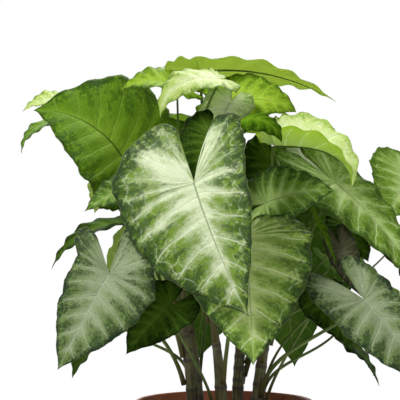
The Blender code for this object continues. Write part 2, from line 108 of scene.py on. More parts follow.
# half outline of a blade, apex to lobe to notch: across, along, where its vein leaves the midrib
OUTLINE = (
    (0.0, 1.0, 0.97), (0.03, 0.95, 0.88), (0.125, 0.85, 0.74), (0.255, 0.7, 0.54), (0.38, 0.53, 0.34),
    (0.475, 0.34, 0.16), (0.525, 0.15, 0.03), (0.53, -0.03, 0.0), (0.495, -0.2, 0.0), (0.42, -0.35, 0.0),
    (0.31, -0.45, 0.0), (0.19, -0.48, 0.0), (0.095, -0.42, 0.0), (0.048, -0.28, 0.0), (0.024, -0.12, 0.0),
    (0.0, 0.0, 0.0),
)

# angles are in degrees; a pair is for the right and left halves of a blade that hangs tip down
PLAIN_LEAF = dict(
    width=1.0,  # of both halves together, roughly as a share of the length
    droop=30,  # how far the midrib turns down towards the tip
    late=1.0,  # above 1, most of that turn comes near the tip
    fold=(15, 15),  # how steeply the halves rise from the midrib
    curl=(20, 20),  # how far they bend down again on their way out
    twist=0,  # how far the blade turns about its midrib on the way to the apex
    lobes=(1, 1),  # length of the lobes
    wide=(1, 1),  # width of the halves
    shoulder=(0, 0),  # how much wider they grow towards the back of their lobes
    splay=(0, 0),  # how far the lobes swing outwards
    notch=(0, 0),  # how much wider the notch opens
    side=None,  # the way (x, y) the stalk leaves its shoot, if not straight to the blade
    arrive=None,  # the way (x, y, z) it meets the blade, if not straight on
    look=None,  # its finish, if not that of its tint
)


def leaf(stem, height, tint, base, tip, face, **shape):
    """
    One leaf: its shoot, how high its stalk leaves that, its tint, where stalk meets blade, where the
    apex is, and the way the upper side faces. Places are in millimetres.
    """
    base, tip, face = (np.array(place, float) for place in (base, tip, face))
    return SimpleNamespace(**{**PLAIN_LEAF, **shape}, stem=stem, height=height, tint=tint, base=base,
            tip=tip, face=face)


LEAVES = {
    "front_large": leaf("front", 185, "pale", (-25, -100, 316), (18, -108, 211), (-0.45, -0.9, 0.25),
        width=1.05, twist=-12, fold=(28, 20), curl=(40, 35), lobes=(0.75, 1.0), wide=(0.78, 1.1),
        splay=(0.5, -0.35), shoulder=(0, 0.75), notch=(0.045, 0.045)),
    "front_second": leaf("front", 150, "mid", (15, -79, 273), (22, -91, 171), (0.1, -0.95, 0.25),
        fold=(10, 8), curl=(25, 10), lobes=(0.35, 0.25), look="soft"),
    "front_right": leaf("right", 165, "mid", (34, -44, 300), (90, -54, 310), (-0.1, -0.75, 0.6), width=0.95,
        droop=40, fold=(30, 10), curl=(30, 20)),
    "left_low": leaf("left", 145, "grey", (-93, -84, 243), (-133, -98, 168), (-0.15, -0.95, 0.2), width=0.9,
        droop=25, fold=(10, 15), curl=(25, 25), lobes=(1.1, 0.65), wide=(1, 0.72), splay=(-0.45, 1.0),
        side=(-1, 0)),
    "left_high": leaf("left", 190, "bright", (-84, -5, 334), (-161, -10, 378), (0.3, -0.6, 0.75),
        width=1.25, droop=80, fold=(0, 15), curl=(10, 2), wide=(0.95, 1.25), lobes=(0.5, 1),
        splay=(0, 0.5)),
    "left_pale": leaf("left", 215, "pale", (-134, 50, 386), (-176, 42, 380), (0.0, -0.4, 0.9), width=0.9,
        droop=60, fold=(20, 20), side=(-1, 0.6), look="lime"),
    "left_tip": leaf("rear", 190, "bright", (-138, 5, 368), (-172, -2, 342), (-0.6, -0.3, 0.8), width=0.9,
        droop=100, fold=(10, 10)),
    "left_small": leaf("left", 210, "deep", (-72, -55, 314), (-114, -68, 293), (-0.2, -0.7, 0.6), width=0.7,
        fold=(20, 20), look="mid"),
    "left_folded": leaf("left", 170, "deep", (-78, -38, 283), (-142, -52, 246), (0.0, -0.2, 0.9), width=0.5,
        droop=70, lobes=(0.3, 0.3)),
    "top_left": leaf("rear", 210, "bright", (-40, 5, 400), (-88, 0, 396), (0.1, -0.5, 0.8), width=0.8,
        droop=60, fold=(20, 20), look="sunlit"),
    "top": leaf("back", 230, "bright", (-20, 36, 415), (96, 5, 386), (0.3, 0.22, 0.92), width=0.5, droop=40,
        fold=(10, 10), lobes=(0.5, 0.5), look="sunlit"),
    "top_folded": leaf("left", 228, "pale", (-4, -28, 403), (-53, -40, 370), (-0.35, -0.6, 0.8), width=0.7,
        droop=110, late=1.6, fold=(10, 10), lobes=(0.3, 0.3), arrive=(0.5, -0.1, 0.87), look="lime"),
    "top_bright": leaf("back", 200, "bright", (6, 14, 389), (62, 6, 377), (0.2, -0.88, 0.4), width=0.75,
        droop=80, late=2.5, look="sunlit"),
    "middle_pale": leaf("front", 205, "pale", (5, -9, 384), (-20, -22, 322), (-0.4, -0.8, 0.4), width=0.65,
        fold=(15, 20), lobes=(0.4, 0.4), look="snow_painted_light"),
    "middle_dark": leaf("front", 200, "deep", (-12, -50, 354), (-26, -64, 306), (-0.2, -0.9, 0.3),
        width=0.9, side=(-1, 0.4)),
    "arched": leaf("front", 212, "bright", (8, -74, 362), (45, -86, 348), (0.2, -0.4, 0.9), droop=120,
        fold=(10, 0), curl=(30, 30), lobes=(0.3, 0.3), look="lush"),
    "right_high": leaf("right", 215, "pale", (42, -24, 348), (104, -42, 312), (0.5, -0.25, 0.85),
        width=0.82, droop=100, late=2.5, fold=(50, 32), curl=(10, 0), lobes=(0.3, 0.3), look="cream"),
    "right_shaded": leaf("back", 185, "pale", (70, 18, 335), (110, 22, 308), (0.2, -0.8, 0.5), width=0.9,
        look="snow_painted_light"),
    "right_far": leaf("back", 225, "mid", (158, 22, 325), (139, 10, 287), (0.4, -0.7, 0.5), width=1.5,
        lobes=(0.7, 0.7), look="spring"),
    "right_pale": leaf("right", 205, "pale", (94, -6, 317), (166, -34, 228), (0.38, -0.72, 0.58), width=0.6,
        fold=(25, 15), wide=(0.6, 1), lobes=(0.9, 1.0), look="spring"),
    "right_curled": leaf("right", 150, "deep", (143, 0, 262), (117, -20, 270), (0.2, -0.8, 0.5), width=1.4,
        droop=60, fold=(20, 20), curl=(30, 30), side=(1, 0.5)),
    "right_dark": leaf("back", 150, "deep", (104, 0, 280), (122, -8, 250), (0.2, -0.9, 0.3), width=0.9),
    "right_low": leaf("right", 138, "grey", (112, -70, 222), (165, -88, 150), (0.1, -0.9, 0.35), width=0.85,
        droop=25, wide=(0.6, 0.8), lobes=(0.9, 1), splay=(0, 0.3), side=(0.3, -1)),
    "right_brown": leaf("right", 180, "grey", (97, -35, 262), (112, -45, 223), (-0.2, -0.9, 0.2), width=0.6,
        fold=(30, 30), side=(1, 0.3), look="brown"),
    "low_dark": leaf("right", 130, "deep", (80, -24, 222), (106, -34, 180), (0.1, -0.9, 0.3), width=0.8,
        fold=(20, 20), lobes=(0.4, 0.4), side=(1, -0.5)),
    "low_left": leaf("front", 128, "deep", (-46, -58, 214), (-80, -74, 178), (-0.2, -0.9, 0.35), width=0.9,
        fold=(20, 20), side=(-1, -0.5)),
    "rolled": leaf("right", 190, "bright", (76, -40, 284), (92, -48, 248), (0.4, -0.9, 0.3), width=0.25,
        droop=10, fold=(60, 60), side=(0.3, -1)),
    "inner_right": leaf("back", 222, "deep", (40, 26, 336), (26, 14, 288), (0.1, -0.9, 0.4), width=0.9,
        side=(0.3, -1)),
    "rear_large": leaf("back", 170, "mid", (18, 102, 305), (0, 113, 200), (0.15, 0.9, 0.3)),
    "rear_left": leaf("rear", 150, "pale", (-64, 101, 262), (-90, 119, 180), (-0.4, 0.85, 0.3), width=0.8),
    "rear_right": leaf("back", 178, "mid", (80, 70, 290), (108, 92, 205), (0.5, 0.8, 0.3), width=0.9,
        look="deep"),
    "rear_low": leaf("rear", 135, "deep", (-13, 82, 226), (-25, 102, 153), (-0.1, 0.9, 0.35), width=0.85),
    "rear_low_right": leaf("back", 143, "grey", (55, 80, 222), (66, 104, 150), (0.3, 0.85, 0.35), width=0.8,
        look="deep"),
    "rear_top": leaf("rear", 225, "bright", (-18, 80, 374), (-28, 138, 345), (0.0, 0.4, 0.9), droop=60),
    "rear_top_right": leaf("back", 245, "bright", (50, 60, 365), (100, 100, 330), (0.3, 0.4, 0.9),
        droop=60),
    "side_left": leaf("left", 178, "mid", (-96, 28, 236), (-138, 42, 188), (-0.6, 0.2, 0.8), width=0.95),
    "side_right": leaf("back", 160, "mid", (112, 44, 240), (160, 58, 185), (0.6, 0.3, 0.8), width=0.95,
        side=(1, 0)),
    "rear_left_high": leaf("rear", 215, "pale", (-75, 84, 330), (-118, 124, 290), (-0.3, 0.4, 0.85),
        droop=50),
    "side_right_low": leaf("right", 136, "deep", (98, 24, 188), (136, 36, 140), (0.75, -0.2, 0.6),
        width=0.85, side=(0.7, 1)),
    "side_left_low": leaf("rear", 150, "deep", (-92, 48, 194), (-134, 62, 144), (-0.7, 0.3, 0.6),
        width=0.95),
    "rear_middle": leaf("back", 238, "mid", (-6, 50, 338), (-4, 70, 296), (0.1, 0.8, 0.5), width=0.8,
        side=(-1, 0.3)),
}


# --- shapes ---

def unit(vector):
    """The vector brought to length one."""
    vector = np.array(vector, float)
    return vector / np.linalg.norm(vector)


def wave(turns):
    """A sine wave, its place given in whole turns."""
    return np.sin(2 * math.pi * turns)


def bezier(p0, p1, p2, p3, count):
    """Points along a cubic curve between two ends, led by two handles."""
    t = np.linspace(0, 1, count)[:, None]
    return (1 - t) ** 3 * p0 + 3 * (1 - t) ** 2 * t * p1 + 3 * (1 - t) * t**2 * p2 + t**3 * p3


def half_outline(samples):
    """The half outline as a smooth curve through its points, sampled evenly along its length."""
    points = np.array(OUTLINE)
    ends = np.vstack([2 * points[0] - points[1], points, 2 * points[-1] - points[-2]])
    t = np.linspace(0, len(points) - 1, 40 * len(points))
    i = np.minimum(t.astype(int), len(points) - 2)
    f = (t - i)[:, None]
    a, b, c, d = (ends[i + k] for k in range(4))
    cubic = (2 * a - 5 * b + 4 * c - d) * f**2 + (3 * b - a - 3 * c + d) * f**3
    dense = 0.5 * (2 * b + (c - a) * f + cubic)
    run = np.concatenate([[0], np.cumsum(np.linalg.norm(np.diff(dense[:, :2], axis=0), axis=1))])
    at = np.linspace(0, run[-1], samples)
    return np.column_stack([np.interp(at, run, dense[:, k]) for k in range(3)])


def midrib_bend(shape):
    """Along/up position and slope of the midrib, from the lobes (-0.8) to the apex (1), and its stretch."""
    t = np.linspace(-0.8, 1.0, 181)
    slope = math.radians(shape.droop) * np.maximum(t, 0) ** shape.late
    along = np.concatenate([[0], np.cumsum((np.cos(slope[1:]) + np.cos(slope[:-1])) / 2 * np.diff(t))])
    up = np.concatenate([[0], np.cumsum(-(np.sin(slope[1:]) + np.sin(slope[:-1])) / 2 * np.diff(t))])
    foot = np.argmin(abs(t))
    along, up = along - along[foot], up - up[foot]
    turn = math.atan2(up[-1], along[-1])
    reach = math.hypot(along[-1], up[-1])
    c, s = math.cos(turn), math.sin(turn)
    return t, (c * along + s * up) / reach, (c * up - s * along) / reach, slope + turn, 1 / reach


def blade_axes(shape):
    """Unit vectors across, along and above the blade, and its length from notch to apex."""
    chord = shape.tip - shape.base
    along = unit(chord)
    above = unit(shape.face - shape.face.dot(along) * along)
    return np.cross(along, above), along, above, np.linalg.norm(chord)


def blade_margin(shape, k):
    """The margin of half k from apex to notch: across, along, and where its vein leaves the midrib."""
    run = np.linspace(0, 1, BLADE_ROWS + 1)[:, None]
    across, along, foot = half_outline(BLADE_ROWS + 1).T[..., None]
    along = np.where(along < 0, along * shape.lobes[k], along)
    across = across * (shape.wide[k] + shape.shoulder[k] * np.clip(-along, 0, 0.3))
    across = across + shape.splay[k] * np.maximum(-along, 0)
    back = np.argmin(along) / BLADE_ROWS
    inner = np.clip((run - back) / (1 - back), 0, 1)
    across = across + shape.notch[k] * np.sin(math.pi * inner) ** 0.7
    nicks = wave(17 * run) + wave(29 * run)
    bumps = wave(6.3 * run + 0.6 * k) + 0.7 * wave(10.7 * run)
    return across * (1 + (NICKS * nicks + BUMPS * bumps) * np.clip(6 * (1 - run), 0, 1)), along, foot


def blade_relief(u, v, k, chord):
    """Quilting between the side veins and fine waves at the margin, left out at tip and notch."""
    ends = np.clip(8 * u, 0, 1) * np.clip(8 * (1 - u), 0, 1)
    quilt = QUILT * np.sin(math.pi * LATERALS * u) ** 2 * np.sqrt(v) * (1 - v**3)
    ripple = RIPPLE * v**4 * wave(0.8 * LATERALS * u + 0.3 * k)
    return min(1.0, chord / FULL_LENGTH) * ends * (quilt + ripple)


def half_blade(shape, side):
    """One half (side +1 or -1): its points, its vein places (u, v, side) and its flat places (x, y)."""
    k = 0 if side < 0 else 1
    across, along, above, chord = blade_axes(shape)
    edge_x, edge_y, foot = blade_margin(shape, k)
    v = 1 - (1 - np.linspace(0, 1, BLADE_COLUMNS + 1)) ** 1.15
    u = np.linspace(0, 1, BLADE_ROWS + 1)[:, None] + 0 * v
    x = edge_x * v
    y = foot + (edge_y - foot) * v
    y = y - VEIN_SAG * np.hypot(edge_x, edge_y - foot) * v * (1 - v) * (edge_y > 0)
    t, mid_along, mid_up, slope, stretch = midrib_bend(shape)
    mid_y, mid_z = np.interp(y, t, mid_along) * chord, np.interp(y, t, mid_up) * chord
    lean = np.interp(y, t, slope)
    half = 0.5 * shape.width * chord * stretch
    fold, bend = math.radians(shape.fold[k]), (math.radians(shape.curl[k]) + 1e-4) / half
    reach = 2 * half * x
    out = (np.sin(fold) - np.sin(fold - bend * reach)) / bend
    lift = (np.cos(fold - bend * reach) - np.cos(fold)) / bend
    lift = lift + WAVE * (2 * x) ** 2 * wave(3.2 * u + 0.37 * k) + blade_relief(u, v, k, chord)
    twist = math.radians(shape.twist) * np.clip(y, -0.5, 1)
    sideways = side * out * np.cos(twist) - lift * np.sin(twist)
    upward = side * out * np.sin(twist) + lift * np.cos(twist)
    place = sideways[..., None] * across + (mid_y + upward * np.sin(lean))[..., None] * along
    points = shape.base + place + (mid_z + upward * np.cos(lean))[..., None] * above
    return points, np.stack([u, u * 0 + v, np.full_like(u, side)], -1), np.stack([side * x, y], -1)


def blade_solid(shape):
    """
    Both halves as one thin closed blade: points, faces, material of each face, vein place of each
    corner, and flat place of each point. Upper faces come first, then under faces, then the rim.
    """
    halves = zip(*(half_blade(shape, side) for side in (1, -1)))
    points, places, flats = (np.vstack([grid.reshape(-1, grid.shape[-1]) for grid in pair])
            for pair in halves)
    _, first, join = np.unique(np.round(points, 3), axis=0, return_index=True, return_inverse=True)
    join = join.reshape(-1)
    width = BLADE_COLUMNS + 1
    upper, corners = [], []
    for n, side in enumerate((1, -1)):
        for i in range(BLADE_ROWS):
            for j in range(BLADE_COLUMNS):
                a = (n * (BLADE_ROWS + 1) + i) * width + j
                ring = [a, a + 1, a + 1 + width, a + width]
                ring = [spot for k, spot in enumerate(ring) if join[spot] != join[ring[k - 1]]]
                if len(set(join[ring])) > 2:
                    ring = ring if side < 0 else ring[::-1]
                    upper.append(join[ring].tolist())
                    corners.append(places[ring])
    spots, place, flat = points[first], places[first], flats[first]
    normals = np.zeros_like(spots)
    for face in upper:
        a, b, c = spots[face[:3]]
        normals[face] += np.cross(c - a, spots[face[-1]] - b)
    normals /= np.linalg.norm(normals, axis=1, keepdims=True) + 1e-12
    half = 0.5 * (EDGE_THICKNESS + (BLADE_THICKNESS - EDGE_THICKNESS) * (1 - place[:, 1:2]**5))
    count = len(spots)
    edges = set()
    for face in upper:
        edges.update(zip(face, face[1:] + face[:1]))
    rim = [(b, a, a + count, b + count) for a, b in sorted(edges) if (b, a) not in edges]
    under = [[n + count for n in face[::-1]] for face in upper]
    kinds = [0] * len(upper) + [1] * (len(under) + len(rim))
    corners += [c[::-1] for c in corners] + [place[[n % count for n in face]] for face in rim]
    both_sides = np.vstack([spots + normals * half, spots - normals * half])
    return both_sides, upper + under + rim, kinds, np.vstack(corners), np.vstack([flat, flat])


def stem_line(name):
    """Centre line of a shoot and its radius along the way."""
    x0, y0, x1, y1, z1, radius = STEMS[name]
    foot, top = np.array([x0, y0, SOIL_TOP + 0.3]), np.array([x1, y1, z1], float)
    rise = np.array([0, 0, (z1 - SOIL_TOP) * 0.4])
    lean = np.array([(x1 - x0) * 0.35, (y1 - y0) * 0.35, (z1 - SOIL_TOP) * 0.3])
    line = bezier(foot, foot + rise, top - lean, top, STEM_STATIONS)
    return line, radius + (STEM_TOP_RADIUS - radius) * np.linspace(0, 1, STEM_STATIONS) ** 1.3


def stalk_line(shape):
    """Centre line of a leaf stalk, from its shoot to the notch of the blade."""
    line, radii = stem_line(shape.stem)
    i = int(np.argmin(abs(line[:, 2] - shape.height)))
    base = shape.base
    way = unit(shape.side or (base - line[i])[:2])
    above = blade_axes(shape)[2]
    neck = base - above * NECK_DROP
    start = line[i] + np.append(way, 0) * (radii[i] + STALK_FOOT * 0.8)
    leave = unit(np.append(way * 0.25, 1.0))
    arrive = unit(shape.arrive or unit(base - start) + 0.5 * above + np.array([0, 0, 0.3]))
    handle = STALK_HANDLE * np.linalg.norm(base - start)
    return bezier(start, start + leave * handle, neck - arrive * handle, neck, STALK_STATIONS)


def stalk_and_rib(shape):
    """The stalk carried on as the raised midrib under the blade: points and radii."""
    stalk = stalk_line(shape)
    t, mid_along, mid_up, slope, _ = midrib_bend(shape)
    _, along, above, chord = blade_axes(shape)
    rib = []
    for place in np.linspace(0.05, RIB_REACH, RIB_STATIONS):
        y, z, s = (np.interp(place, t, row) for row in (mid_along, mid_up, slope))
        point = shape.base + along * (y * chord) + above * (z * chord)
        rib.append(point - (above * math.cos(s) + along * math.sin(s)) * RIB_SINK * (1 - place))
    size = min(1.0, (chord / FULL_LENGTH) ** 0.5)
    s = np.linspace(0, 1, len(stalk))
    clasp = 0.5 * np.exp(-(s / 0.1) ** 2)
    radii = size * (STALK_FOOT + (STALK_NECK - STALK_FOOT) * s) + clasp
    taper = size * (1.0 - 0.8 * np.linspace(0, 1, RIB_STATIONS))
    return np.vstack([stalk, rib]), np.concatenate([radii, taper])


def circle(radius, z, count):
    """Points evenly round a circle about Z."""
    angles = np.arange(count) * 2 * math.pi / count
    return np.column_stack([radius * np.cos(angles), radius * np.sin(angles), angles * 0 + z])


def tube(line, radii, sides):
    """A closed round tube along a line: points, faces, and for each corner (run, turn)."""
    line = np.array(line, float)
    ahead = np.gradient(line, axis=0)
    ahead /= np.linalg.norm(ahead, axis=1, keepdims=True)
    first = unit(np.cross(ahead[0], (0.3, 1.0, 0.1)))
    points = []
    for point, way, radius in zip(line, ahead, radii):
        first = unit(first - first.dot(way) * way)
        points.append(point + circle(radius, 0, sides) @ [first, np.cross(way, first), way])
    faces, runs = [], []
    last = len(line) - 1
    for i in range(last):
        for k in range(sides):
            ring = [(i, k), (i, k + 1), (i + 1, k + 1), (i + 1, k)]
            faces.append([row * sides + spot % sides for row, spot in ring])
            runs += [(row / last, spot / sides) for row, spot in ring]
    faces.append(tuple(range(sides))[::-1])
    faces.append(tuple(range(last * sides, (last + 1) * sides)))
    runs += [(0.0, 0.0)] * sides + [(1.0, 0.0)] * sides
    return np.vstack(points), faces, runs


def turned(profile, segments):
    """A closed solid turned about Z from a profile that starts and ends on the axis."""
    rings = [circle(radius, z, segments) for radius, z in profile[1:-1]]
    points = np.vstack([[[0, 0, profile[0][1]]], *rings, [[0, 0, profile[-1][1]]]])
    starts = [1 + segments * i for i in range(len(rings))]
    faces = []
    for k in range(segments):
        n = (k + 1) % segments
        faces.append((0, 1 + n, 1 + k))
        faces += [(a + k, a + n, b + n, b + k) for a, b in zip(starts, starts[1:])]
        faces.append((starts[-1] + k, starts[-1] + n, len(points) - 1))
    return points, faces


def softened(profile, ease, steps=5):
    """A profile with each of its corners rounded by a small curve."""
    profile = [np.array(p, float) for p in profile]
    made = [profile[0]]
    for before, corner, after in zip(profile, profile[1:], profile[2:]):
        a, b = before - corner, after - corner
        cut = min(ease, 0.45 * np.linalg.norm(a), 0.45 * np.linalg.norm(b))
        start, end = corner + unit(a) * cut, corner + unit(b) * cut
        for f in np.linspace(0, 1, steps):
            made.append((1 - f) ** 2 * start + 2 * f * (1 - f) * corner + f**2 * end)
    return made + [profile[-1]]


def lumps(points, scale, seed):
    """Smooth repeatable unevenness at the points, about -1 to 1, from crossing waves."""
    chance = np.random.default_rng(seed)
    total = np.zeros(len(points))
    for _ in range(9):
        way = unit(chance.normal(size=3)) * scale * chance.uniform(0.7, 1.5)
        total += np.sin(points @ way + chance.uniform(0, 2 * math.pi))
    return total / 3.2


# --- mesh objects ---

def new_object(name, data):
    """An object in the scene that shows this data."""
    thing = bpy.data.objects.new(name, data)
    bpy.context.scene.collection.objects.link(thing)
    return thing


def mesh_object(name, points, faces, kinds=None, materials=()):
    """A smooth-shaded mesh object from points in millimetres."""
    mesh = bpy.data.meshes.new(name)
    mesh.from_pydata((np.asarray(points) * MM).tolist(), [], faces)
    for material in materials:
        mesh.materials.append(bpy.data.materials[material])
    if kinds is not None:
        mesh.polygons.foreach_set("material_index", kinds)
    mesh.polygons.foreach_set("use_smooth", [True] * len(mesh.polygons))
    mesh.update()
    return new_object(name, mesh)


def write(piece, name, domain, values):
    """A vector for each corner or point of a piece, read by its materials."""
    layer = piece.data.attributes.new(name, "FLOAT_VECTOR", domain)
    layer.data.foreach_set("vector", np.asarray(values, np.float32).ravel())


def settle(piece, node):
    """The piece stands for its solid and stays with it."""
    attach(piece, "root")
    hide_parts(node)


def build_leaf(number, name, shape):
    """One leaf: blade, stalk and raised midrib in a single piece."""
    points, faces, kinds, corners, flat = blade_solid(shape)
    line, radii = stalk_and_rib(shape)
    bark, sides, runs = tube(line, radii, STALK_SIDES)
    faces = faces + [[n + len(points) for n in face] for face in sides]
    kinds = kinds + [2] * len(sides)
    look = shape.look or shape.tint
    piece = mesh_object(name + "_leaf", np.vstack([points, bark]), faces, kinds,
            ("upper_" + look, "under_" + look, "stalk"))
    past = len(line) / STALK_STATIONS
    stalk_places = [(run * past, turn, 0.0) for run, turn in runs]
    write(piece, "leaf_place", "CORNER", np.vstack([corners, stalk_places]))
    flats = np.full((len(points) + len(bark), 3), LEAF_SEED_STEP * number)
    flats[:, :2] = 0
    flats[:len(points), :2] = flat
    write(piece, "leaf_flat", "POINT", flats)
    settle(piece, "leaf_" + name)


def build_stem(name):
    """A shoot with a swollen joint where each leaf stalk leaves it."""
    line, radii = stem_line(name)
    line[0, 2] -= STEM_ROOT
    swell, joint = np.ones(len(line)), np.zeros(len(line))
    for shape in LEAVES.values():
        if shape.stem == name:
            near = np.exp(-((line[:, 2] - shape.height + JOINT_DROP) / JOINT_LENGTH) ** 2)
            swell += JOINT_SWELL * near
            joint = np.maximum(joint, near)
    points, faces, runs = tube(line, radii * np.minimum(swell, JOINTS_MOST), STEM_SIDES)
    piece = mesh_object(name + "_shoot", points, faces, None, ("shoot",))
    write(piece, "stem_place", "CORNER", [(run, turn, 0.0) for run, turn in runs])
    write(piece, "stem_joint", "POINT", np.repeat(joint, STEM_SIDES)[:, None] * np.ones(3))
    settle(piece, "stem_" + name)


def build_pot():
    """The tapered pot with its collar and drainage holes."""
    base, neck, rim = POT_BASE_RADIUS, POT_NECK_RADIUS, POT_RIM_RADIUS
    top, step = POT_HEIGHT, POT_HEIGHT - COLLAR_DEPTH
    profile = [(0, 0.6), (base - 9, 0.6), (base - 7, 0), (base - 1.0, 0), (base, 2.0), (neck, step),
            (neck + 4.6, step + 0.6), (rim - 0.9, top - 5), (rim, top - 4.2), (rim, top),
            (rim - 3.2, top), (rim - 3.4, top - 3), (neck + 2.2, step + 4.5), (neck - 2.1, step + 2),
            (base - 2, POT_FLOOR + 1.2), (base - 3.4, POT_FLOOR), (0, POT_FLOOR)]
    points, faces = turned(softened(profile, POT_EASE), POT_SEGMENTS)
    pot = mesh_object("pot_shell", points, faces, None, ("pot_plastic",))
    for k in range(DRAIN_HOLES):
        angle = 2 * math.pi * (k + 0.5) / DRAIN_HOLES
        x, y = DRAIN_CIRCLE * math.cos(angle), DRAIN_CIRCLE * math.sin(angle)
        plug, sides, _ = tube([(x, y, -2), (x, y, POT_FLOOR + 0.3)], [DRAIN_RADIUS] * 2, DRAIN_SIDES)
        cutter = mesh_object("drain_cutter", plug, sides)
        cut = pot.modifiers.new("drain", "BOOLEAN")
        cut.operation, cut.solver, cut.object = "DIFFERENCE", "EXACT", cutter
        bpy.context.view_layer.update()
        shape = bpy.data.meshes.new_from_object(pot.evaluated_get(bpy.context.evaluated_depsgraph_get()))
        pot.modifiers.clear()
        pot.data = shape
        bpy.data.objects.remove(cutter)
    pot.data.set_sharp_from_angle(angle=math.radians(38))
    settle(pot, "pot")


def crumb_form():
    """A small rounded lump of 26 points, as a ball of radius one."""
    profile = [(0, -1)] + [(math.sqrt(1 - z * z), z) for z in (-0.6, 0.0, 0.6)] + [(0, 1)]
    return turned(profile, 8)


def build_soil():
    """Potting mix: an uneven top strewn with crumbs and bark chips, and the body of it in the pot."""
    base, neck = POT_BASE_RADIUS, POT_NECK_RADIUS
    step = POT_HEIGHT - COLLAR_DEPTH
    profile = [(0, POT_FLOOR + 0.4), (base - 3.6, POT_FLOOR + 0.4), (base - 2.4, POT_FLOOR + 1.5),
            (neck - 2.45, step + 2.3), (SOIL_RADIUS - 0.3, step + 4.8), (SOIL_RADIUS, SOIL_TOP - 2.6)]
    rings = [(r, SOIL_TOP) for r in np.linspace(SOIL_RADIUS - 1.2, 1.0, SOIL_RINGS)]
    points, faces = turned(profile + rings + [(0, SOIL_TOP)], SOIL_SEGMENTS)
    top = points[:, 2] > SOIL_TOP - 0.5
    rough = sum(height * lumps(points, fineness, seed) for height, fineness, seed in SOIL_LUMPS)
    inside = np.clip((SOIL_RADIUS - np.hypot(points[:, 0], points[:, 1])) / 8, 0, 1)
    points[top, 2] += (rough * (0.3 + 0.7 * inside) - 1.6 * (1 - inside) - 0.3)[top]
    chance = np.random.default_rng(21)
    ball, ball_faces = crumb_form()
    kinds, everything = [0] * len(faces), [points]
    for n in range(CRUMBS):
        radius, angle = (SOIL_RADIUS - 4) * math.sqrt(chance.uniform(0, 1)), chance.uniform(0, 2 * math.pi)
        spot = np.array([radius * math.cos(angle), radius * math.sin(angle), 0])
        near = np.argmin(((points[:, :2] - spot[:2]) ** 2).sum(axis=1) + 1e6 * ~top)
        spot[2] = points[near, 2]
        size = chance.uniform(*CRUMB_SIZE) * chance.uniform(0.6, 1.1, 3) * np.array([1.2, 1.0, 0.7])
        turn = np.linalg.qr(chance.normal(size=(3, 3)))[0]
        crumb = ball * (1 + 0.22 * chance.normal(size=(len(ball), 1)))
        everything.append(crumb * size @ turn + spot)
        start = len(points) + n * len(ball)
        faces += [tuple(corner + start for corner in face) for face in ball_faces]
        kinds += [int(chance.uniform() >= PLAIN_CRUMBS)] * len(ball_faces)
    soil = mesh_object("potting_mix", np.vstack(everything), faces, kinds, ("potting_mix", "bark_chip"))
    settle(soil, "soil")


# --- shader building ---

def maths(operation):
    """A method that adds the Math node of this operation."""
    return lambda *parts: parts[0].sheet.math(operation, *parts)


class Wire:
    """What a node puts out. Arithmetic on wires adds the Math nodes that work it out."""

    def __init__(self, sheet, socket):
        self.sheet = sheet
        self.socket = socket

    __add__, __sub__, __mul__ = maths("ADD"), maths("SUBTRACT"), maths("MULTIPLY")
    __abs__, at_least = maths("ABSOLUTE"), maths("MAXIMUM")

    def __rsub__(self, other):
        return self.sheet.math("SUBTRACT", other, self)

    def eased(self, low, high, start=0.0, end=1.0):
        """Goes smoothly from start to end while the wire's value goes from low to high."""
        return self.sheet.wire("ShaderNodeMapRange", {"Value": self, "From Min": low, "From Max": high,
                "To Min": start, "To Max": end}, interpolation_type="SMOOTHSTEP")

    def fading(self, low, high):
        """Goes smoothly from 1 to 0 while the wire's value goes from low to high."""
        return self.eased(low, high, 1.0, 0.0)


def spaced(named):
    """The same values, with spaces in their names."""
    return {name.replace("_", " "): value for name, value in named.items()}


